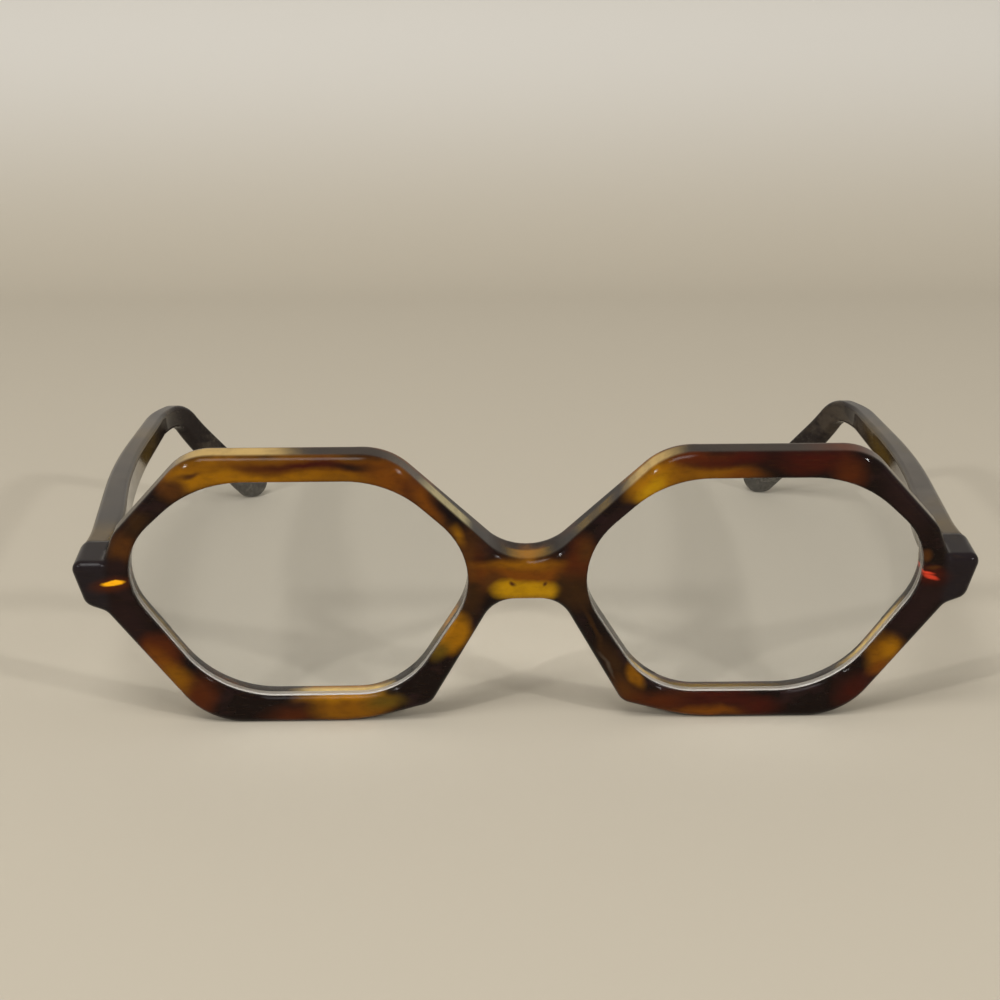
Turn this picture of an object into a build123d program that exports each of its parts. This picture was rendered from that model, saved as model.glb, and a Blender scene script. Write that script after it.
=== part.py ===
from build123d import *
from math import cos, radians, sin, sqrt, tan
import os

# Hexagonal eyeglasses in thick acetate, standing open on their rims and temple tips.
# Left and right are the wearer's. The wearer looks along -Y, so the left side is +X.
# Across is along X, up and back are measured in the leaning plane of the front.

os.makedirs("parts", exist_ok=True)

# Lens openings and the bridge between them
lens_width = 48.2
lens_height = 35.5
bridge_width = 18.7
bridge_height = 6.5
bridge_depth = 6.8

# Rims and end pieces
rim_bottom = 4.45
rim_top = 3.9
rim_side = 4.3
front_thickness = 4.5
end_reach = 9.3
end_height = 7.6
end_depth = 7.6
front_round = 1.2
back_round = 0.8
opening_round = 0.4
end_round = 1.6
saddle_round = 20.0

# How the glasses stand
front_lean = 8.0
temple_slope = 1.2

# Lenses
lens_thickness = 2.0
lens_setback = 1.2
lens_radius = 450.0
bevel_depth = 0.7
bevel_angle = 50.0
groove_clearance = 0.04

# Nose pads
pad_width = 3.2
pad_depth = 5.0

# Temples
temple_set_in = 1.0
temple_thickness = 3.8
temple_to_bend = 94.0
hook_reach = 18.0
temple_flare = 4.8
tip_slope_share = 8 / 9  # how far a tip turns in for each length back
bend_height = 4.0
tip_height = 4.2
temple_round = 0.8
butt_gap = 0.1

# Hinges
barrel_diameter = 2.8
barrel_stack = 6.4
barrel_count = 5
barrel_gap = 0.04
screw_diameter = 1.3
screw_head_diameter = 2.3
screw_head_height = 0.6
screw_slot_width = 0.4
screw_slot_depth = 0.3
bore_clearance = 0.05
barrel_stand_off = 0.2
leaf_thickness = 1.0
leaf_length = 8.6
leaf_height = 5.8
leaf_start = 0.9
anchor_width = 3.6
anchor_thickness = 1.2
tang_width = 3.0
tang_height = 0.8
tang_cover = 1.0

# Wire cores of the temples
core_diameter = 1.0
core_start = 2.0

# Corners of the opening: shares across and up the lens box, and the share of a side that its round takes
opening_shares = [
    (-0.086, 0.605, 0.502),
    (0.222, 1.0, 0.31),
    (0.795, 1.0, 0.36),
    (1.082, 0.63, 0.48),
    (0.764, 0.0, 0.315),
    (0.192, 0.0, 0.269),
]

# Steps of a nose pad, from the rim back: shares of its depth, length and width, and set towards the nose
pad_step_shares = [
    (0, 1, 1, 0),
    (0.5, 0.86, 0.8, 0.06),
    (1, 0.6, 0.5, 0.25),
]

# Places worked out from the sizes above
origin = (0, 0, 0)
nose_x = bridge_width / 2
temple_x = nose_x + lens_width
opening_top = rim_bottom + lens_height
front_height = opening_top + rim_top
bridge_middle = rim_bottom + 0.545 * lens_height
bridge_top = bridge_middle + bridge_height / 2
bridge_bottom = bridge_middle - bridge_height / 2
end_top = rim_bottom + 0.645 * lens_height
end_bottom = end_top - end_height
end_middle = (end_top + end_bottom) / 2
half_width = temple_x + end_reach

# The front leans and the temples slope down a little towards the ears
lean_sin = sin(radians(front_lean))
lean_cos = cos(radians(front_lean))
slope_sin = sin(radians(temple_slope))
slope_cos = cos(radians(temple_slope))

# The front stands on the round of its lower front edge, which sets its plane down by this much
front_drop = front_round * (lean_sin + lean_cos - 1)

# Joint between front and temple, back and up from the foot of the front's plane
joint_depth = end_depth + butt_gap / 2
joint_back = joint_depth * lean_cos - end_middle * lean_sin
joint_up = joint_depth * lean_sin + end_middle * lean_cos - front_drop

# Round tip of the temple, along and above the line of the temple: its lowest point is on the ground
tip_radius = tip_height / 2
tip_s = temple_to_bend + hook_reach - tip_radius
tip_h = (tip_radius - joint_up + tip_s * slope_sin) / slope_cos

# The origin is on the ground in the middle of the box around the glasses
reach_forward = (front_height - front_round) * lean_sin + front_round * (1 - lean_cos)
reach_back = joint_back + tip_s * slope_cos + tip_h * slope_sin + tip_radius
foot_back = (reach_forward - reach_back) / 2
front_origin = Vector(0, foot_back, -front_drop)
up_front = Vector(0, -lean_sin, lean_cos)
back_front = Vector(0, lean_cos, lean_sin)
front_plane = Plane(origin=front_origin, x_dir=(1, 0, 0), z_dir=-back_front)
plan_plane = Plane(origin=front_origin, x_dir=(1, 0, 0), z_dir=up_front)


def lens_point(across_share, up_share):
    """A point of the front's plane, by its shares across and up the lens box."""
    return (nose_x + across_share * lens_width, rim_bottom + up_share * lens_height)


def round_radii(corners):
    """The radius of each corner's round, from the share it takes of the shorter side next to it."""
    points = [Vector(*point) for point, _ in corners]
    radii = []
    for before, point, after, corner in zip(points[-1:] + points, points, points[1:] + points, corners):
        turn = (point - before).get_angle(after - point)
        reach = corner[1] * min((point - before).length, (after - point).length)
        radii.append(reach / tan(radians(turn) / 2))
    return radii


def opening_line():
    """Draws the closed rounded hexagon of the left opening."""
    corners = [(lens_point(across, up), share) for across, up, share in opening_shares]
    return FilletPolyline(*[point for point, _ in corners], radius=round_radii(corners), close=True)


# Half of the outer outline, from the bridge's underside round to its top: point and share of a side
outline = [
    ((0, bridge_bottom), 0),
    ((0.258 * bridge_width, bridge_bottom), 0.627),
    ((nose_x + 0.105 * lens_width, 0.65 * rim_bottom), 0.112),
    ((nose_x + 0.314 * lens_width, 0), 0.415),
    ((nose_x + 0.808 * lens_width, 0), 0.24),
    ((temple_x + 1.03 * rim_side, end_bottom - 0.08 * end_height), 0.213),
    ((temple_x + 0.8 * end_reach, end_bottom + 0.08 * end_height), 0.317),
    ((half_width, end_top), 0.36),
    ((temple_x + rim_side, end_top), 0.111),
    ((temple_x + 0.6 * rim_side, end_top + 0.12 * lens_height), 0.17),
    ((nose_x + 0.825 * lens_width, front_height), 0.221),
    ((nose_x + 0.222 * lens_width, front_height), 0.177),
    ((0.18 * bridge_width, bridge_top), 0.95),
    ((0, bridge_top), 0),
]


def half_outline():
    """Draws the outer outline on the left side, open along the middle."""
    return FilletPolyline(*[point for point, _ in outline], radius=round_radii(outline)[1:-1])


# Faces of the temple and the hinge axis, across from the middle
temple_outer = half_width - temple_set_in
temple_inner = temple_outer - temple_thickness
hinge_x = temple_inner - barrel_diameter / 2 - barrel_stand_off

# Planes of the joint and the temple
along_temple = Vector(0, slope_cos, -slope_sin)
up_temple = Vector(0, slope_sin, slope_cos)
joint_middle = front_origin + up_front * end_middle + back_front * joint_depth
butt_origin = front_origin + back_front * (end_depth + butt_gap)
butt_plane = Plane(origin=butt_origin, x_dir=(1, 0, 0), z_dir=back_front)
side_plane = Plane(origin=joint_middle, x_dir=along_temple, z_dir=(1, 0, 0))
temple_plan = Plane(origin=joint_middle, x_dir=along_temple, z_dir=-up_temple)
hinge_point = joint_middle + Vector(hinge_x, 0, 0)


def hinge_level(height):
    """The plane square to the hinge axis at this height, with across as X and back as Y."""
    return Plane(origin=hinge_point + up_temple * height, x_dir=(1, 0, 0), z_dir=up_temple)


def temple_point(back, across, up):
    """A point by its distances back along the temple, across and up from the joint."""
    return joint_middle + along_temple * back + Vector(across, 0, 0) + up_temple * up


# Lens: a shallow meniscus with a bevelled edge that sits in the groove of the rim
lens_middle = lens_setback + lens_thickness / 2
lens_plane = front_plane.offset(-lens_middle)
bevel_half = (bevel_depth + groove_clearance) / tan(radians(bevel_angle))
edge_radius = lens_width / 2 + lens_height / 10
edge_sag = lens_radius - sqrt(lens_radius**2 - edge_radius**2)
lens_u, lens_v = lens_point(0.5, 0.5)
ball_back = lens_setback - edge_sag + lens_radius
ball_centre = front_origin + Vector(lens_u, 0, 0) + up_front * lens_v + back_front * ball_back

with BuildPart() as lens:
    with BuildSketch(lens_plane):
        with BuildLine():
            opening_line()
        make_face()
        offset(amount=-groove_clearance)
    extrude(amount=2 * lens_thickness, both=True)
    with Locations(ball_centre):
        Sphere(lens_radius, mode=Mode.INTERSECT)
        Sphere(lens_radius - lens_thickness, mode=Mode.SUBTRACT)
    with BuildSketch(lens_plane):
        with BuildLine():
            opening_line()
        make_face()
        offset(amount=bevel_depth)
    bevel_face = lens.pending_faces[0]
    extrude(amount=bevel_half, taper=bevel_angle)
    extrude(bevel_face, amount=-bevel_half, taper=bevel_angle)

# Groove of the left rim, a little larger than the lens edge all round
with BuildPart() as groove:
    with BuildSketch(lens_plane):
        with BuildLine():
            opening_line()
        make_face()
        offset(amount=bevel_depth + groove_clearance)
    groove_face = groove.pending_faces[0]
    extrude(amount=bevel_half, taper=bevel_angle)
    extrude(groove_face, amount=-bevel_half, taper=bevel_angle)

# Barrels of the hinge, stacked about the height of the joint
barrel_pitch = barrel_stack / barrel_count
barrel_height = barrel_pitch - barrel_gap
barrel_radius = barrel_diameter / 2
bore_radius = screw_diameter / 2 + bore_clearance
stack_bottom = -barrel_stack / 2
leaf_face = temple_inner - hinge_x


def barrel_levels(first):
    """The planes of every second barrel's lower face."""
    levels = range(first, barrel_count, 2)
    return [hinge_level(stack_bottom + level * barrel_pitch + barrel_gap / 2) for level in levels]


# Front half of the hinge: three barrels on webs from a plate sunk in the back of the rim
web_length = end_depth + butt_gap / 2 - front_thickness + 0.5 * anchor_thickness
anchor_u = temple_inner - anchor_width / 2 + leaf_thickness

with BuildPart() as front_hinge:
    with BuildSketch(*barrel_levels(0)):
        Circle(barrel_radius)
        with Locations((0, -web_length / 2)):
            Rectangle(0.8 * barrel_diameter, web_length)
    extrude(amount=barrel_height)
    with BuildSketch(front_plane.offset(-front_thickness)):
        with Locations((anchor_u, end_middle)):
            Rectangle(anchor_width, barrel_stack)
    extrude(amount=anchor_thickness)
    with BuildSketch(front_plane.offset(-front_thickness)):
        with Locations((anchor_u, end_middle)):
            Rectangle(tang_width, tang_height)
    extrude(amount=front_thickness - tang_cover)
    with BuildSketch(hinge_level(stack_bottom)):
        Circle(bore_radius)
    extrude(amount=barrel_stack, mode=Mode.SUBTRACT)

# Temple half of the hinge: two barrels on a plate let into the inner face of the temple
with BuildPart() as temple_hinge:
    with BuildSketch(*barrel_levels(1)):
        with BuildLine():
            Polyline(
                (-barrel_radius, 0),
                (0.1 * leaf_length, 0.45 * leaf_length),
                (leaf_face + 0.5 * leaf_thickness, 0.45 * leaf_length),
                (leaf_face + 0.5 * leaf_thickness, leaf_start + 0.1 * leaf_length),
                (barrel_radius, 0),
                close=True,
            )
        make_face()
        Circle(barrel_radius)
    extrude(amount=barrel_height)
    with BuildSketch(hinge_level(-leaf_height / 2)):
        with Locations((leaf_face + leaf_thickness / 2, leaf_start + leaf_length / 2)):
            Rectangle(leaf_thickness, leaf_length)
    extrude(amount=leaf_height)
    with BuildSketch(hinge_level(stack_bottom)):
        Circle(bore_radius)
    extrude(amount=barrel_stack, mode=Mode.SUBTRACT)

# Screw: its slotted head sits on the top barrel
with BuildPart() as hinge_screw:
    with BuildSketch(hinge_level(stack_bottom)):
        Circle(screw_diameter / 2)
    extrude(amount=barrel_stack)
    with BuildSketch(hinge_level(-stack_bottom)):
        Circle(screw_head_diameter / 2)
    extrude(amount=screw_head_height)
    with BuildSketch(hinge_level(screw_head_height - stack_bottom)):
        Rectangle(screw_head_diameter, screw_slot_width)
    extrude(amount=-screw_slot_depth, mode=Mode.SUBTRACT)

# End piece: deeper than the rim, square where the temple butts, rounded to the outside
with BuildPart() as end_piece:
    with BuildSketch(front_plane):
        with BuildLine():
            half_outline()
            Line((0, bridge_top), (0, bridge_bottom))
        make_face()
    extrude(amount=-end_depth)
    with BuildSketch(plan_plane):
        with BuildLine():
            FilletPolyline(
                (temple_inner, 0),
                (temple_inner, end_depth),
                (temple_outer, end_depth),
                (half_width, front_thickness),
                (half_width, 0),
                radius=(0, end_round, end_round),
            )
            Line((half_width, 0), (temple_inner, 0))
        make_face()
    extrude(amount=front_height, mode=Mode.INTERSECT)

# Front: the outline at full depth, thinned in plan behind the rims, rounded, then opened
with BuildPart() as front:
    with BuildSketch(front_plane):
        with BuildLine():
            half_outline()
            mirror(about=Plane.YZ)
        make_face()
    extrude(amount=-bridge_depth)
    with BuildSketch(plan_plane):
        with BuildLine():
            FilletPolyline(
                (0, bridge_depth),
                (0.2 * bridge_width, bridge_depth),
                (1.3 * bridge_width, front_thickness),
                (temple_inner, front_thickness),
                (temple_inner, 0),
                radius=(saddle_round, saddle_round, 0),
            )
            Line((temple_inner, 0), (0, 0))
            mirror(about=Plane.YZ)
        make_face()
    extrude(amount=front_height, mode=Mode.INTERSECT)
    front_face = front.faces().filter_by(front_plane).sort_by(Axis(origin, back_front))[0]
    other_edges = front_face.outer_wire().edges()
    other_edges += front.edges().filter_by(Axis(origin, up_front))
    other_edges += front.edges().filter_by(Axis(origin, back_front))
    fillet([edge for edge in front.edges() if edge not in other_edges], radius=back_round)
    add(end_piece.part)
    add(end_piece.part.mirror(Plane.YZ))
    front_face = front.faces().filter_by(front_plane).sort_by(Axis(origin, back_front))[0]
    fillet(front_face.outer_wire().edges(), radius=front_round)
    with BuildSketch(front_plane):
        with BuildLine():
            opening_line()
        make_face()
        mirror(about=Plane.YZ)
    extrude(amount=-end_depth, mode=Mode.SUBTRACT)
    front_face = front.faces().filter_by(front_plane).sort_by(Axis(origin, back_front))[0]
    fillet([edge for wire in front_face.inner_wires() for edge in wire.edges()], radius=opening_round)
    for cutter in (groove.part, front_hinge.part):
        add(cutter, mode=Mode.SUBTRACT)
        add(cutter.mirror(Plane.YZ), mode=Mode.SUBTRACT)

# Nose pad: a tapering slot shape built up along the nose side of the rim, on its back
nose_side_top = Vector(*outline[1][0])
nose_side = Vector(*outline[2][0]) - nose_side_top
pad_angle = Vector(1, 0).get_signed_angle(nose_side, Vector(0, 0, 1))
pad_length = 0.64 * nose_side.length
pad_middle = nose_side_top + 0.38 * nose_side + Vector(-nose_side.Y, nose_side.X).normalized() * 0.5 * pad_width

with BuildPart() as nose_pad:
    for depth_share, length_share, width_share, inset_share in pad_step_shares:
        with BuildSketch(front_plane.offset(-front_thickness - depth_share * pad_depth)):
            with Locations(pad_middle - Vector(inset_share * pad_width, 0)):
                SlotOverall(length_share * pad_length, width_share * pad_width, rotation=pad_angle)
    loft()
    with BuildSketch(front_plane):
        with BuildLine():
            opening_line()
        make_face()
    extrude(amount=-bridge_depth, mode=Mode.SUBTRACT)
    add(front.part, mode=Mode.SUBTRACT)

# Side outline of the temple: the bar to the bend, then the hook down to the round tip
temple_height = end_height * cos(radians(front_lean + temple_slope))
bend_centre = Vector(temple_to_bend, temple_height / 2 - bend_height / 2)
tip_centre = Vector(tip_s, tip_h)
hook = tip_centre - bend_centre
hook_dir = hook.normalized()
hook_normal = Vector(-hook_dir.Y, hook_dir.X)
widening = (tip_radius - bend_height / 2) / hook.length
outer_normal = hook_normal * sqrt(1 - widening**2) - hook_dir * widening
inner_normal = hook_normal * -sqrt(1 - widening**2) - hook_dir * widening
outer_tip = tip_centre + outer_normal * tip_radius
inner_tip = tip_centre + inner_normal * tip_radius


def meet(point, direction, other, other_direction):
    """Where two lines in the side plane cross."""
    turn = direction.X * other_direction.Y - direction.Y * other_direction.X
    gap = other - point
    return point + direction * ((gap.X * other_direction.Y - gap.Y * other_direction.X) / turn)


front_top = Vector(-temple_thickness, temple_height / 2)
front_bottom = Vector(-temple_thickness, -temple_height / 2)
under_bend = Vector(temple_to_bend, temple_height / 2 - bend_height)
outer_line = Vector(-outer_normal.Y, outer_normal.X)
inner_line = Vector(-inner_normal.Y, inner_normal.X)
outer_bend = meet(front_top, Vector(1, 0), outer_tip, outer_line)
inner_bend = meet(front_bottom, under_bend - front_bottom, inner_tip, inner_line)

# Plan outline of the temple: it bows out to half way, runs on to the bend, then goes in to the tip
bow_start = 0.04 * temple_to_bend
flare_start = 1.4 * leaf_length
flare_end = 0.5 * temple_to_bend
plan_bend = 0.98 * temple_to_bend
plan_end = temple_to_bend + hook_reach + tip_height
flared = temple_outer + temple_flare
tip_across = flared - tip_slope_share * (plan_end - plan_bend)

# Wire core: through the middle of the bar and round the bend into the hook
core_share = 0.51
core_end = temple_to_bend + core_share * hook.X

with BuildPart() as core:
    with BuildLine():
        path = FilletPolyline(
            temple_point(core_start, temple_outer - temple_thickness / 2, 0),
            temple_point(flare_start, temple_outer - temple_thickness / 2, 0),
            temple_point(flare_end, flared - 0.45 * temple_thickness, 0.5 * bend_centre.Y),
            temple_point(0.98 * temple_to_bend, flared - 0.6 * temple_thickness, bend_centre.Y),
            temple_point(
                core_end,
                flared - tip_slope_share * (core_end - plan_bend) - 0.45 * temple_thickness,
                bend_centre.Y + core_share * hook.Y,
            ),
            radius=0.11 * temple_to_bend,
        )
    with BuildSketch(Plane(origin=path @ 0, z_dir=path % 0)):
        Circle(core_diameter / 2)
    sweep()

# Temple: a bar cut to its side outline and its plan outline, opened for its hinge and its core
with BuildPart() as temple:
    with BuildSketch(side_plane):
        with BuildLine():
            FilletPolyline(front_top, outer_bend, outer_tip, radius=0.08 * temple_to_bend)
            ThreePointArc(outer_tip, tip_centre + hook_dir * tip_radius, inner_tip)
            FilletPolyline(inner_tip, inner_bend, front_bottom, radius=0.05 * temple_to_bend)
            Line(front_bottom, front_top)
        make_face()
    extrude(amount=2 * half_width)
    with BuildSketch(temple_plan):
        with BuildLine():
            FilletPolyline(
                (-temple_thickness, temple_outer),
                (bow_start, temple_outer),
                (flare_end, flared),
                (plan_bend, flared),
                (plan_end, tip_across),
                (plan_end, tip_across - 0.96 * temple_thickness),
                (plan_bend, flared - 0.88 * temple_thickness),
                (flare_end, flared - 0.9 * temple_thickness),
                (flare_start, temple_inner),
                (-temple_thickness, temple_inner),
                radius=[
                    0,
                    0.8 * temple_to_bend,
                    3 * temple_to_bend,
                    0.3 * temple_to_bend,
                    0,
                    0,
                    0.26 * temple_to_bend,
                    3 * temple_to_bend,
                    1.5 * temple_to_bend,
                    0,
                ],
                close=True,
            )
        make_face()
    extrude(amount=temple_to_bend, both=True, mode=Mode.INTERSECT)
    split(bisect_by=butt_plane, keep=Keep.TOP)
    butt_edges = temple.faces().sort_by(Axis(origin, back_front))[0].edges()
    fillet([edge for edge in temple.edges() if edge not in butt_edges], radius=temple_round)
    for cutter in (temple_hinge.part, core.part):
        add(cutter, mode=Mode.SUBTRACT)

front.part.label = "front"
export_step(front.part, "parts/front.step")

# The right side mirrors the left
sided = {
    "lens": lens.part,
    "nose_pad": nose_pad.part,
    "front_hinge": front_hinge.part,
    "temple_hinge": temple_hinge.part,
    "hinge_screw": hinge_screw.part,
    "temple": temple.part,
    "temple_core": core.part,
}
for name, left_piece in sided.items():
    for side, piece in (("left", left_piece), ("right", left_piece.mirror(Plane.YZ))):
        piece.label = f"{name}_{side}"
        export_step(piece, f"parts/{piece.label}.step")
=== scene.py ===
import math

import bpy
from mathutils import Matrix, Vector

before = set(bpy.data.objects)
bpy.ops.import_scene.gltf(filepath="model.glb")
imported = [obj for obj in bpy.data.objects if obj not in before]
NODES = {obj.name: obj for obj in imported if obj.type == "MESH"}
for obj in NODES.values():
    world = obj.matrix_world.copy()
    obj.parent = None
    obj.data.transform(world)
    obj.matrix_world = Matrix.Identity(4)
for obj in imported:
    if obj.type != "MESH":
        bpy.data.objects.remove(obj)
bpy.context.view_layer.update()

# The scene is in metres, and the materials work in millimetres. The front leans back, so it has
# coordinates of its own, across, back and up from the foot of its face. The hinge is the left one.
MM = 0.001
IN_MM = (1 / MM, 1 / MM, 1 / MM)
LEAN = math.radians(8.0)
FRONT_FOOT = Vector((0, -54.956, -0.155)) * MM
HINGE = Vector((60.45, -50.657, 24.228)) * MM

SIDES = ("left", "right")

# How many rays a softened edge is found with
BEVEL_SAMPLES = 6


def linear(red, green, blue):
    """A linear colour from the 0 to 255 values of a screen, by the usual screen curve."""
    values = []
    for part in (red, green, blue):
        share = part / 255
        values.append(share / 12.92 if share <= 0.04045 else ((share + 0.055) / 1.055) ** 2.4)
    return (*values, 1.0)


class Tree:
    """A material's nodes, with short calls for the ones used here."""

    def __init__(self, name):
        self.mat = bpy.data.materials.new(name)
        self.mat.use_nodes = True
        self.tree = self.mat.node_tree
        self.tree.nodes.clear()
        self.out = self.add("ShaderNodeOutputMaterial")

    def add(self, kind, **settings):
        """A new node of a kind, with these settings."""
        node = self.tree.nodes.new(kind)
        for key, value in settings.items():
            setattr(node, key, value)
        return node

    def put(self, socket, value):
        """Links a socket to another, or sets its value."""
        if isinstance(value, bpy.types.NodeSocket):
            self.tree.links.new(value, socket)
        else:
            socket.default_value = value

    def math(self, operation, first, second=0.0):
        """A sum, product or the like of two numbers."""
        node = self.add("ShaderNodeMath", operation=operation)
        self.put(node.inputs[0], first)
        self.put(node.inputs[1], second)
        return node.outputs[0]

    def vector(self, operation, first, second=(0, 0, 0), output=0):
        """The same for two vectors. Output 1 is the number that some operations give."""
        node = self.add("ShaderNodeVectorMath", operation=operation)
        self.put(node.inputs[0], first)
        self.put(node.inputs[1], second)
        return node.outputs[output]

    def parts(self, coords):
        """The three numbers of a vector, one socket each."""
        node = self.add("ShaderNodeSeparateXYZ")
        self.put(node.inputs[0], coords)
        return node.outputs

    def ramp(self, value, low, high, out_low=0.0, out_high=1.0):
        """A smooth step from out_low to out_high as value goes from low to high."""
        node = self.add("ShaderNodeMapRange", interpolation_type="SMOOTHSTEP")
        for socket, entry in zip(node.inputs, (value, low, high, out_low, out_high)):
            self.put(socket, entry)
        return node.outputs[0]

    def mix(self, share, first, second):
        """A colour between two others, the second where share is 1."""
        node = self.add("ShaderNodeMix", data_type="RGBA")
        for name, entry in (("Factor_Float", share), ("A_Color", first), ("B_Color", second)):
            socket = next(s for s in node.inputs if s.identifier == name)
            self.put(socket, entry)
        return next(s for s in node.outputs if s.identifier == "Result_Color")

    def mix_shaders(self, share, first, second):
        """A surface between two others, the second where share is 1."""
        node = self.add("ShaderNodeMixShader")
        for socket, entry in zip(node.inputs, (share, first, second)):
            self.put(socket, entry)
        return node.outputs[0]

    def noise(self, coords, scale, detail=2.0, roughness=0.5, colour=False):
        """A cloudy noise, its scale in waves to each unit of the coordinates."""
        node = self.add("ShaderNodeTexNoise")
        self.put(node.inputs["Vector"], coords)
        node.inputs["Scale"].default_value = scale
        node.inputs["Detail"].default_value = detail
        node.inputs["Roughness"].default_value = roughness
        return node.outputs["Color" if colour else "Fac"]

    def mapping(self, coords, location=(0, 0, 0), rotation=(0, 0, 0), scale=(1, 1, 1)):
        """Coordinates scaled, turned and moved, in that order."""
        node = self.add("ShaderNodeMapping", vector_type="POINT")
        self.put(node.inputs["Vector"], coords)
        node.inputs["Location"].default_value = location
        node.inputs["Rotation"].default_value = rotation
        node.inputs["Scale"].default_value = scale
        return node.outputs[0]

    def ellipse(self, coords, across, up, long, wide):
        """How far a place lies from an ellipse's middle, where 1 is on the ellipse."""
        node = self.add("ShaderNodeVectorMath", operation="MULTIPLY_ADD")
        self.put(node.inputs[0], coords)
        node.inputs[1].default_value = (1 / long, 0, 1 / wide)
        node.inputs[2].default_value = (-across / long, 0, -up / wide)
        return self.vector("LENGTH", node.outputs[0], output=1)

    def place(self):
        """Object coordinates in millimetres."""
        node = self.add("ShaderNodeTexCoord")
        return self.mapping(node.outputs["Object"], scale=IN_MM)

    def front_place(self):
        """Millimetres across, back and up in the front's own plane."""
        node = self.add("ShaderNodeTexCoord")
        turn = Matrix.Rotation(-LEAN, 3, "X")
        move = -(turn @ FRONT_FOOT) / MM
        return self.mapping(node.outputs["Object"], move, (-LEAN, 0, 0), IN_MM)

    def bump(self, height, strength, distance, rounding=None):
        """A normal shaken by a height, and softened near edges within the rounding's reach."""
        node = self.add("ShaderNodeBump")
        if rounding is not None:
            bevel = self.add("ShaderNodeBevel", samples=BEVEL_SAMPLES)
            bevel.inputs["Radius"].default_value = rounding
            self.put(node.inputs["Normal"], bevel.outputs[0])
        node.inputs["Strength"].default_value = strength
        node.inputs["Distance"].default_value = distance
        self.put(node.inputs["Height"], height)
        return node.outputs[0]

    def principled(self, **values):
        """A principled surface, its inputs named with a low line for each space."""
        node = self.add("ShaderNodeBsdfPrincipled")
        for name, value in values.items():
            self.put(node.inputs[name.replace("_", " ")], value)
        return node

    def finish(self, shader):
        """The material, once its surface is linked to the output."""
        self.tree.links.new(shader, self.out.inputs["Surface"])
        return self.mat


# Tortoiseshell colours
DARK = linear(16, 6, 4)
INK = linear(28, 22, 24)
PURPLE = linear(30, 15, 14)
DEEP_RED = linear(54, 12, 3)
RED_BROWN = linear(70, 28, 4)
UMBER = linear(46, 26, 7)
BROWN = linear(70, 38, 8)
ORANGE = linear(102, 54, 4)
AMBER = linear(114, 70, 3)
GOLD = linear(136, 88, 3)
BRIGHT = linear(162, 118, 4)
OLIVE = linear(88, 66, 12)
TAN = linear(172, 142, 82)
CREAM = linear(156, 142, 98)
SLATE = linear(36, 25, 18)
GREY_BROWN = linear(68, 56, 45)
FLAME = linear(255, 178, 20)
EMBER = linear(200, 60, 36)

# Patches through the front, each an ellipse: across and up of its middle, half length, half width,
# turn in degrees, colour and softness. The turn lifts the end towards the wearer's left. The colour
# is full inside the ellipse made smaller by its softness, and gone outside the one made larger.
# Later patches lie over earlier ones.
TOP_LEFT = [
    (-36, 41.4, 17, 2.6, 0, AMBER, 0.5),
    (-46, 41.2, 5.0, 1.9, 10, GOLD, 0.6),
    (-40, 40.7, 8.0, 0.9, 0, GOLD, 0.8),
    (-51.3, 39.2, 1.9, 1.6, 40, BROWN, 0.7),
    (-48.2, 41.5, 1.7, 0.35, 10, BROWN, 0.9),
    (-31, 42.6, 11.5, 0.75, 0, DEEP_RED, 1.0),
    (-23.5, 42.5, 3.6, 0.55, 0, DARK, 0.9),
    (-19.5, 39.9, 4.2, 2.3, -40, ORANGE, 0.8),
]
SLANTS_LEFT = [
    (-15.4, 37.6, 3.0, 1.0, -40, RED_BROWN, 0.9),
    (-13.0, 34.6, 5.2, 1.7, -50, BROWN, 0.7),
    (-14.2, 36.4, 2.6, 0.9, -50, ORANGE, 0.9),
    (-11.0, 33.9, 4.2, 0.75, -50, DARK, 0.7),
    (-9.8, 31.0, 1.3, 0.5, -60, GOLD, 0.9),
    (-8.6, 26.8, 2.4, 4.0, 0, BROWN, 0.7),
    (-6.9, 24.8, 0.8, 3.2, 0, DEEP_RED, 0.9),
    (-8.7, 21.2, 2.3, 3.2, 10, UMBER, 0.6),
    (-10.9, 15.4, 2.9, 2.6, 60, GOLD, 0.45),
    (-12.9, 12.8, 0.9, 1.6, -30, OLIVE, 1.0),
    (-58.6, 29.6, 2.3, 1.9, 80, BROWN, 0.7),
    (-56.4, 33.4, 1.8, 1.3, 50, UMBER, 0.9),
    (-59.6, 26.5, 1.6, 1.4, 0, PURPLE, 0.8),
    (-58.6, 17.6, 4.6, 2.2, -60, PURPLE, 0.8),
    (-54.6, 11.4, 3.6, 3.2, -50, RED_BROWN, 0.45),
    (-54.9, 10.2, 2.4, 1.6, -60, ORANGE, 0.9),
    (-52.2, 6.9, 3.2, 2.4, -50, AMBER, 0.6),
    (-49.4, 4.4, 2.2, 3.4, -20, RED_BROWN, 0.7),
]
BOTTOM_LEFT = [
    (-35.4, 1.3, 3.2, 1.7, 0, RED_BROWN, 1.0),
    (-26.2, 2.6, 5.6, 3.1, 0, AMBER, 0.4),
    (-27.5, 4.4, 5.2, 0.7, 0, GOLD, 0.8),
    (-21.2, 3.4, 2.4, 1.2, 10, OLIVE, 0.9),
]
BRIDGE = [
    (0, 25.3, 7.6, 2.1, 0, ORANGE, 0.6),
    (-1.0, 26.6, 5.2, 0.7, 0, AMBER, 0.9),
    (-5.6, 23.4, 1.6, 1.8, 0, BROWN, 0.8),
    (5.6, 23.2, 1.4, 2.2, 0, UMBER, 0.8),
    (-0.2, 22.2, 4.9, 2.0, 0, BRIGHT, 0.3),
    (-2.3, 23.5, 0.5, 0.3, 0, BROWN, 0.8),
    (2.6, 23.7, 0.35, 0.3, 0, BROWN, 0.8),
    # Painted shade: a dark line along the bridge's upper front edge
    (0, 27.6, 6.0, 0.6, 0, DARK, 0.9),
]
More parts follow.
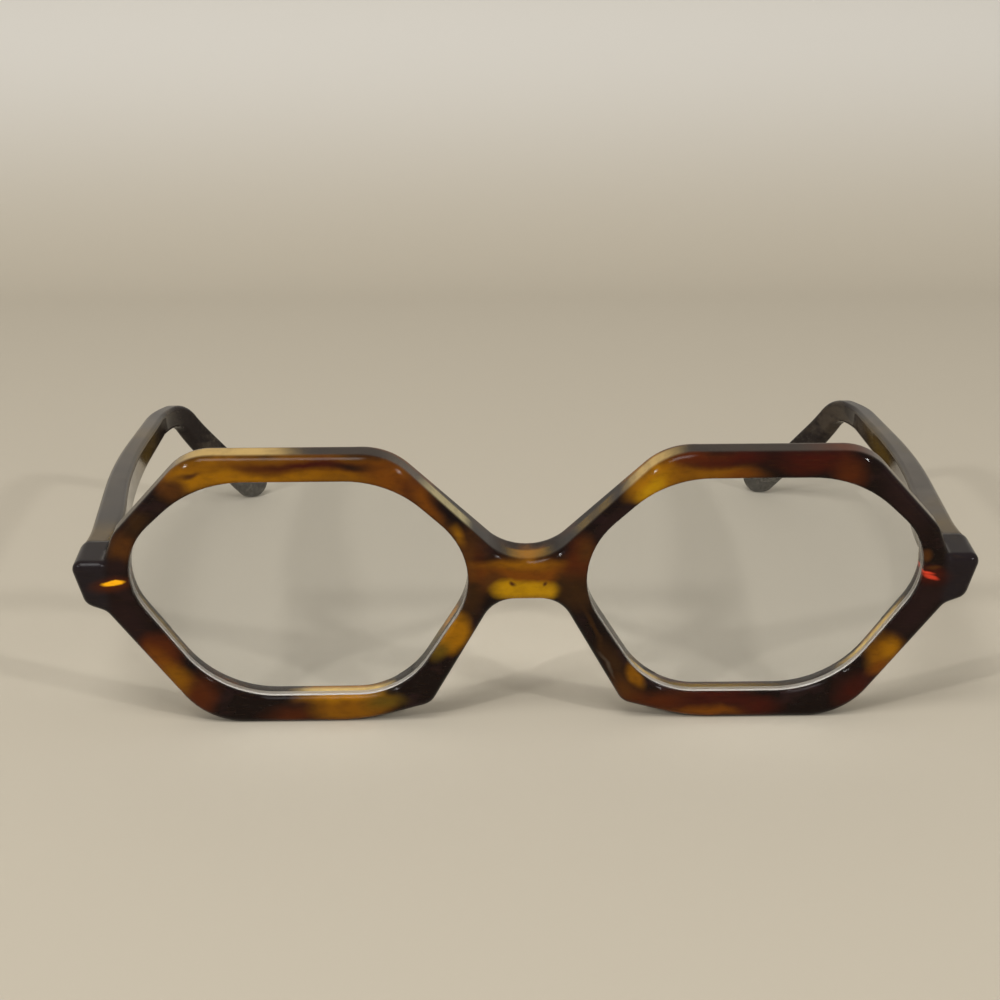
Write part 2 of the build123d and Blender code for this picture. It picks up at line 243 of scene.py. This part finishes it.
NOSE_RIGHT = [
    (8.0, 26.9, 2.3, 3.2, 0, RED_BROWN, 0.6),
    (8.6, 28.4, 1.3, 1.9, 10, BROWN, 0.9),
    (7.6, 21.8, 2.5, 2.9, 0, UMBER, 0.7),
    (9.8, 15.6, 0.3, 4.5, 20, UMBER, 0.9),
    (12.7, 9.8, 3.6, 1.0, -60, UMBER, 0.9),
    (12.0, 9.4, 2.2, 0.2, -60, GREY_BROWN, 0.9),
    (15.0, 4.6, 3.2, 2.0, -40, BROWN, 0.8),
    (16.4, 7.6, 2.0, 0.9, -50, AMBER, 0.6),
    (13.4, 33.9, 4.6, 1.0, 50, PURPLE, 0.9),
]
TOP_RIGHT = [
    (18.6, 40.0, 4.6, 1.9, 30, GOLD, 0.45),
    (17.6, 38.8, 2.2, 0.9, 40, BRIGHT, 0.8),
    (25.6, 40.7, 5.6, 1.6, 0, AMBER, 0.6),
    (24.2, 42.9, 5.6, 1.2, 0, RED_BROWN, 0.7),
    (30.6, 40.4, 3.0, 0.9, 0, ORANGE, 0.9),
    (31.0, 42.7, 6.0, 1.0, 0, DEEP_RED, 0.9),
    (38.0, 41.6, 5.6, 2.6, 0, DARK, 0.8),
    (41.0, 42.2, 5.0, 1.3, 0, DEEP_RED, 0.8),
    (46.0, 40.6, 2.2, 1.9, -10, RED_BROWN, 0.9),
]
SIDE_RIGHT = [
    (54.4, 35.8, 5.0, 1.6, -50, PURPLE, 0.9),
    (58.2, 27.4, 1.1, 1.0, 0, BROWN, 0.6),
    (58.9, 24.3, 1.8, 1.0, 0, DEEP_RED, 0.6),
    (57.4, 18.2, 4.6, 1.8, 60, PURPLE, 0.8),
    (53.6, 11.2, 3.0, 2.6, 50, AMBER, 0.5),
    (54.2, 12.2, 1.5, 1.2, 50, GOLD, 0.8),
    (52.7, 9.3, 1.9, 1.0, 40, ORANGE, 0.8),
    (49.6, 5.0, 2.8, 2.2, 40, DEEP_RED, 0.9),
]
BOTTOM_RIGHT = [
    (20.6, 3.2, 4.6, 1.7, 0, RED_BROWN, 0.9),
    (30.0, 3.1, 6.2, 1.1, 0, DEEP_RED, 0.8),
    (26.6, 1.0, 6.6, 0.95, 0, ORANGE, 0.8),
    (35.0, 2.0, 2.8, 1.4, 0, DEEP_RED, 0.9),
]
FACE = [
    *TOP_LEFT,
    *SLANTS_LEFT,
    *BOTTOM_LEFT,
    *BRIDGE,
    *NOSE_RIGHT,
    *TOP_RIGHT,
    *SIDE_RIGHT,
    *BOTTOM_RIGHT,
]

# Patches that show only behind the front face, on the walls of the rims and the bridge. They are partly
# the pattern on the walls and partly painted light: the pale tan, cream and grey-brown patches are
# painted reflections of the room and painted light coming through the acetate.
WALL_PATTERN_AND_REFLECTIONS = [
    (-50, 40.6, 4.6, 2.6, 40, GREY_BROWN, 0.6),
    (-41, 43.5, 8.6, 2.4, 0, TAN, 0.5),
    (-26, 43.6, 8.4, 2.4, 0, SLATE, 0.5),
    (-15.8, 40.0, 5.2, 2.6, -40, GREY_BROWN, 0.6),
    (-10.6, 35.0, 5.6, 2.4, -50, CREAM, 0.5),
    (-7.0, 30.2, 2.6, 2.6, -50, DARK, 0.6),
    (0, 27.0, 3.4, 2.4, 0, OLIVE, 0.4),
    (0, 26.4, 2.4, 1.0, 0, GOLD, 0.8),
    (9.2, 32.4, 2.2, 2.6, 60, OLIVE, 0.7),
    (12.0, 36.6, 4.6, 2.6, 40, SLATE, 0.6),
    (10.8, 35.3, 1.5, 1.2, 40, OLIVE, 0.9),
    (17.6, 41.4, 4.6, 2.0, 30, TAN, 0.5),
    (36, 43.6, 14.0, 2.4, 0, SLATE, 0.6),
    (45.6, 43.4, 3.6, 2.4, 0, RED_BROWN, 0.9),
    (-55.0, 12.6, 8.6, 2.4, -60, TAN, 0.5),
    (-45.6, 4.6, 3.4, 2.0, -20, BROWN, 0.8),
    (-27.0, 4.4, 7.0, 1.6, 0, TAN, 0.5),
    (17.6, 7.0, 3.2, 1.8, -40, TAN, 0.7),
    (28.0, 4.4, 8.6, 1.4, 0, OLIVE, 0.7),
    (52.6, 12.8, 6.0, 2.2, 50, TAN, 0.5),
]

# Light that has come through the end pieces and shines in a slit on each side
GLOWS = [
    (-60.6, 23.9, 2.4, 0.9, 10, RED_BROWN, 0.9),
    (-60.5, 24.15, 1.6, 0.38, 10, FLAME, 0.35),
    (59.3, 24.2, 2.2, 1.3, -10, DEEP_RED, 0.8),
    (59.3, 23.9, 1.1, 0.3, -20, EMBER, 0.6),
    (59.6, 25.5, 0.9, 0.3, 0, BROWN, 0.8),
    (58.7, 24.6, 0.9, 0.2, -10, EMBER, 0.8),
]

# Patches of the temples, the same for both. The first two numbers are back and up from the hinge,
# and the turn lifts the end away from the hinge.
TEMPLE_PATCHES = [
    (4, 0, 6.0, 4.0, 0, OLIVE, 0.8),
    (3, 1.0, 3.6, 0.8, 0, TAN, 0.8),
    (14, 0, 7.0, 2.2, 0, OLIVE, 0.9),
    (27, 0.5, 1.6, 2.6, 30, DARK, 0.8),
    (36, 0, 16.0, 3.0, 0, SLATE, 0.8),
    (60, 0, 12.0, 2.0, 0, OLIVE, 0.9),
]

# Polished plastic: how it reflects, and how strongly each layer of its looks shows
ACETATE_IOR = 1.49
ACETATE_SHINE = 0.13
ACETATE_ROUGHNESS = (0.05, 0.12)
CLOUD_SHARE = 0.4
CLOUD_DEPTH = 0.55
STREAK_SHARE = 0.04
STREAK_DEPTH = 0.5
SPECK_SHARE = 0.15
GRAIN_STRENGTH = 0.02
GRAIN_HEIGHT = 0.02 * MM

# Where the front's colours change, in millimetres: back from the face into the walls, back out of
# the walls, and across to the dark ends
INTO_WALLS = (0.7, 1.7)
OUT_OF_WALLS = (4.2, 3.4)
INTO_ENDS = (60.6, 62.2)
EDGE_ROUNDING = 0.7 * MM

# The temples' grounds, and the flecked tips that start this far back from the hinge
TEMPLE_DARK = linear(34, 28, 27)
TEMPLE_GREY = linear(62, 54, 46)
TIP_DARK = linear(36, 33, 30)
TIP_FLECK = linear(76, 72, 64)
INTO_TIP = (94.0, 108.0)

# Lenses: clear on the faces, ground dull at the edge, which starts where a surface turns away
LENS_IOR = 1.5
LENS_TINT = linear(237, 239, 241)
LENS_EDGE_TINT = linear(132, 120, 100)
LENS_EDGE_ROUGHNESS = 0.45
LENS_EDGE_CLEARNESS = 0.6
LENS_EDGE_SHINE = 0.2
INTO_LENS_EDGE = (0.95, 0.85)

# Metals: how much rougher the worn places are, and the brush marks
METAL_ROUGHER = 0.12
BRUSH_STRENGTH = 0.05
BRUSH_HEIGHT = 0.02 * MM

NOISE_MIDDLE = (0.5, 0.5, 0.5)


def patch_colour(t, coords, colour, patches):
    """Lays soft-edged ellipses of colour over another, each through the whole depth."""
    turned = {}
    for across, up, long, wide, turn, tint, soft in patches:
        angle = math.radians(turn)
        if turn not in turned:
            turned[turn] = t.mapping(coords, rotation=(0, angle, 0))
        middle = Matrix.Rotation(angle, 3, "Y") @ Vector((across, 0, up))
        reach = t.ellipse(turned[turn], middle.x, middle.z, long, wide)
        colour = t.mix(t.ramp(reach, 1 + soft, 1 - soft), colour, tint)
    return colour


def shaken(t, coords, scale, reach):
    """Coordinates pushed about by a noise of this scale, by this reach in millimetres."""
    noise = t.noise(coords, scale, roughness=0.55, colour=True)
    push = t.vector("SUBTRACT", noise, NOISE_MIDDLE)
    return t.vector("ADD", coords, t.vector("MULTIPLY", push, (reach, reach, reach)))


def acetate_shader(t, coords, colour, rounding=None):
    """Polished plastic: faint clouds and streaks in the colour, fine wear on the gloss."""
    clouds = t.noise(t.mapping(coords, scale=(1.0, 1.0, 2.2)), scale=0.45, detail=4.0, roughness=0.6)
    share = t.math("MULTIPLY", t.ramp(clouds, low=0.42, high=0.7), CLOUD_SHARE)
    colour = t.mix(share, colour, t.mix(CLOUD_DEPTH, colour, DARK))
    streaks = t.noise(t.mapping(coords, scale=(0.6, 0.6, 5.0)), scale=0.8, detail=3.0, roughness=0.6)
    share = t.math("MULTIPLY", t.ramp(streaks, low=0.5, high=0.8), STREAK_SHARE)
    colour = t.mix(share, colour, t.mix(STREAK_DEPTH, colour, BRIGHT))
    specks = t.ramp(t.noise(coords, scale=3.4, detail=2.0, roughness=0.7), low=0.72, high=0.8)
    colour = t.mix(t.math("MULTIPLY", specks, SPECK_SHARE), colour, GREY_BROWN)
    wear = t.noise(coords, scale=0.9, detail=3.0)
    rough = t.ramp(wear, 0.35, 0.75, *ACETATE_ROUGHNESS)
    shader = t.principled(
        Base_Color=colour,
        Roughness=rough,
        IOR=ACETATE_IOR,
        Specular_IOR_Level=ACETATE_SHINE,
    )
    grain = t.noise(coords, scale=26.0)
    normal = t.bump(grain, GRAIN_STRENGTH, GRAIN_HEIGHT, rounding)
    t.put(shader.inputs["Normal"], normal)
    return shader.outputs[0]


def front_tortoiseshell():
    """The front: patches on its face with a painted shade line on the bridge, others on its walls with
    painted reflections, dark ends and the painted light in them.
    """
    t = Tree("front_tortoiseshell")
    coords = t.front_place()
    across, back = t.parts(coords)[:2]
    warped = shaken(t, shaken(t, coords, scale=0.11, reach=3.4), scale=0.5, reach=0.6)
    mottle = t.noise(t.mapping(warped, scale=(1.0, 0.6, 1.6)), scale=0.16, detail=3.0, roughness=0.6)
    face = t.mix(t.ramp(mottle, low=0.5, high=0.66), DARK, PURPLE)
    face = patch_colour(t, warped, face, FACE)
    walls = t.mix(t.ramp(mottle, low=0.45, high=0.6), DARK, SLATE)
    walled = t.math("MULTIPLY", t.ramp(back, *INTO_WALLS), t.ramp(back, *OUT_OF_WALLS))
    # The walls take their own colours, pattern and painted reflections together
    colour = t.mix(walled, face, patch_colour(t, warped, walls, WALL_PATTERN_AND_REFLECTIONS))
    ends = t.ramp(t.math("ABSOLUTE", across), *INTO_ENDS)
    colour = t.mix(ends, colour, INK)
    colour = patch_colour(t, shaken(t, coords, scale=0.6, reach=0.5), colour, GLOWS)
    return t.finish(acetate_shader(t, coords, colour, EDGE_ROUNDING))


def temple_tortoiseshell():
    """The temples: greyer and plainer than the front, with flecked tips."""
    t = Tree("temple_tortoiseshell")
    coords = t.mapping(t.place(), -HINGE / MM)
    swapped = t.mapping(coords, rotation=(0, 0, -math.pi / 2))
    warped = shaken(t, shaken(t, swapped, scale=0.08, reach=5.0), scale=0.5, reach=1.2)
    mottle = t.noise(t.mapping(warped, scale=(0.5, 1.0, 1.4)), scale=0.14, detail=3.0, roughness=0.6)
    colour = t.mix(t.ramp(mottle, low=0.45, high=0.62), TEMPLE_DARK, TEMPLE_GREY)
    colour = patch_colour(t, warped, colour, TEMPLE_PATCHES)
    back = t.parts(swapped)[0]
    tip = t.ramp(back, *INTO_TIP)
    flecks = t.ramp(t.noise(swapped, scale=1.3, detail=4.0, roughness=0.7), low=0.48, high=0.62)
    colour = t.mix(tip, colour, t.mix(flecks, TIP_DARK, TIP_FLECK))
    return t.finish(acetate_shader(t, swapped, colour))


def pad_acetate():
    """The nose pads: brown and orange, softly mottled."""
    t = Tree("nose_pad_acetate")
    coords = t.front_place()
    mottle = t.noise(shaken(t, coords, scale=0.3, reach=0.8), scale=0.25)
    colour = t.mix(t.ramp(mottle, low=0.3, high=0.7), BROWN, ORANGE)
    return t.finish(acetate_shader(t, coords, colour))


def lens_glass():
    """Clear lenses with a dull ground edge, which let light through to the floor."""
    t = Tree("clear_lens")
    back = (0, math.cos(LEAN), math.sin(LEAN))
    normal = t.add("ShaderNodeNewGeometry").outputs["True Normal"]
    facing = t.math("ABSOLUTE", t.vector("DOT_PRODUCT", normal, back, output=1))
    edge = t.ramp(facing, *INTO_LENS_EDGE)
    glass = t.principled(
        Base_Color=LENS_TINT,
        IOR=LENS_IOR,
        Roughness=0.0,
        Transmission_Weight=1.0,
    )
    ground = t.principled(
        Base_Color=LENS_EDGE_TINT,
        Roughness=LENS_EDGE_ROUGHNESS,
        IOR=LENS_IOR,
        Transmission_Weight=LENS_EDGE_CLEARNESS,
        Specular_IOR_Level=LENS_EDGE_SHINE,
    )
    body = t.mix_shaders(edge, glass.outputs[0], ground.outputs[0])
    clear = t.add("ShaderNodeBsdfTransparent")
    path = t.add("ShaderNodeLightPath")
    return t.finish(t.mix_shaders(path.outputs["Is Shadow Ray"], body, clear.outputs[0]))


def metal(name, tint, dark, rough):
    """A brushed metal, darker where it is worn."""
    t = Tree(name)
    coords = t.place()
    wear = t.noise(coords, scale=0.7)
    colour = t.mix(t.ramp(wear, low=0.4, high=0.8), tint, dark)
    brushed = t.noise(t.mapping(coords, scale=(1, 1, 10)), scale=2.0)
    roughness = t.ramp(brushed, 0.3, 0.7, rough, rough + METAL_ROUGHER)
    shader = t.principled(Base_Color=colour, Roughness=roughness, Metallic=1.0)
    t.put(shader.inputs["Normal"], t.bump(brushed, BRUSH_STRENGTH, BRUSH_HEIGHT))
    return t.finish(shader.outputs[0])


def dress(name, mat):
    """Gives a piece its one material."""
    mesh = NODES[name].data
    mesh.materials.clear()
    mesh.materials.append(mat)


front_acetate = front_tortoiseshell()
temple_acetate = temple_tortoiseshell()
pad_plastic = pad_acetate()
clear_lens = lens_glass()
hinge_metal = metal("nickel_silver", tint=linear(196, 189, 174), dark=linear(158, 148, 130), rough=0.22)
screw_metal = metal("screw_steel", tint=linear(172, 170, 166), dark=linear(120, 116, 110), rough=0.28)
wire_metal = metal("core_wire", tint=linear(188, 182, 168), dark=linear(150, 142, 124), rough=0.2)

dress("front", front_acetate)
for side in SIDES:
    dress(f"lens_{side}", clear_lens)
    dress(f"nose_pad_{side}", pad_plastic)
    dress(f"front_hinge_{side}", hinge_metal)
    dress(f"temple_hinge_{side}", hinge_metal)
    dress(f"hinge_screw_{side}", screw_metal)
    dress(f"temple_{side}", temple_acetate)
    dress(f"temple_core_{side}", wire_metal)


# The floor and the wall behind it, in metres, and the heights in millimetres between which the
# floor's tone gives way to the wall's
WALL_BACK = 0.42
CURVE_RADIUS = 0.12
CURVE_STEPS = 16
FLOOR_FRONT = -2.0
HALF_WIDTH = 2.0
WALL_TOP = 2.0
FLOOR_TINT = linear(178, 169, 152)
WALL_TINT = linear(202, 198, 190)
INTO_WALL_TINT = (0.0, 90.0)
BACKDROP_ROUGHNESS = 0.7


def sweep():
    """A pale floor that curves up into a pale wall behind."""
    curve_start = WALL_BACK - CURVE_RADIUS
    profile = [(FLOOR_FRONT, 0.0), (curve_start, 0.0)]
    for step in range(1, CURVE_STEPS + 1):
        turn = math.pi / 2 * step / CURVE_STEPS
        back = curve_start + CURVE_RADIUS * math.sin(turn)
        height = CURVE_RADIUS - CURVE_RADIUS * math.cos(turn)
        profile.append((back, height))
    profile.append((WALL_BACK, WALL_TOP))
    vertices = [(x, y, z) for y, z in profile for x in (-HALF_WIDTH, HALF_WIDTH)]
    faces = [(2 * i, 2 * i + 1, 2 * i + 3, 2 * i + 2) for i in range(len(profile) - 1)]
    mesh = bpy.data.meshes.new("backdrop")
    mesh.from_pydata(vertices, [], faces)
    obj = bpy.data.objects.new("backdrop", mesh)
    bpy.context.collection.objects.link(obj)
    for face in mesh.polygons:
        face.use_smooth = True
    t = Tree("pale_backdrop")
    up = t.parts(t.place())[2]
    colour = t.mix(t.ramp(up, *INTO_WALL_TINT), FLOOR_TINT, WALL_TINT)
    shader = t.principled(Base_Color=colour, Roughness=BACKDROP_ROUGHNESS)
    mesh.materials.append(t.finish(shader.outputs[0]))


sweep()


def area_light(name, place, size, power):
    """A flat light of this width and height in metres and power in watts, aimed at the object."""
    lamp = bpy.data.lights.new(name, "AREA")
    lamp.shape = "RECTANGLE"
    lamp.size, lamp.size_y = size
    lamp.energy = power
    obj = bpy.data.objects.new(name, lamp)
    obj.location = place
    obj.rotation_euler = (-Vector(place)).to_track_quat("-Z", "Y").to_euler()
    bpy.context.collection.objects.link(obj)


WINDOW_SIZE = (0.045, 0.045)
WINDOW_POWER = 3.0

area_light("softbox", (-0.2, -0.5, 0.9), size=(0.5, 0.4), power=5.6)
area_light("window_left", (-0.6, -0.66, 0.46), WINDOW_SIZE, WINDOW_POWER)
area_light("window_right", (0.6, -0.66, 0.46), WINDOW_SIZE, WINDOW_POWER)

ROOM_TINT = linear(238, 235, 229)
ROOM_STRENGTH = 0.52

world = bpy.data.worlds.new("studio")
bpy.context.scene.world = world
world.use_nodes = True
room = world.node_tree.nodes["Background"]
room.inputs["Color"].default_value = ROOM_TINT
room.inputs["Strength"].default_value = ROOM_STRENGTH

# Camera: where the picture was taken from, found from the outlines of the rims
CAMERA_PLACE = Vector((-8.86, -307.15, 110.99)) * MM
YAW, PITCH, ROLL = (math.radians(angle) for angle in (1.116, 16.778, -0.181))
LENS_LENGTH = 64.8
SENSOR_WIDTH = 36.0
NEAREST = 0.01

camera = bpy.data.cameras.new("camera")
camera.lens = LENS_LENGTH
camera.sensor_width = SENSOR_WIDTH
camera.clip_start = NEAREST
camera_object = bpy.data.objects.new("camera", camera)
heading = Matrix.Rotation(-YAW, 4, "Z")
tilt = Matrix.Rotation(math.pi / 2 - PITCH, 4, "X")
roll = Matrix.Rotation(ROLL, 4, "Z")
camera_object.matrix_world = Matrix.Translation(CAMERA_PLACE) @ heading @ tilt @ roll
bpy.context.collection.objects.link(camera_object)
bpy.context.scene.camera = camera_object
bpy.context.scene.view_settings.view_transform = "Standard"
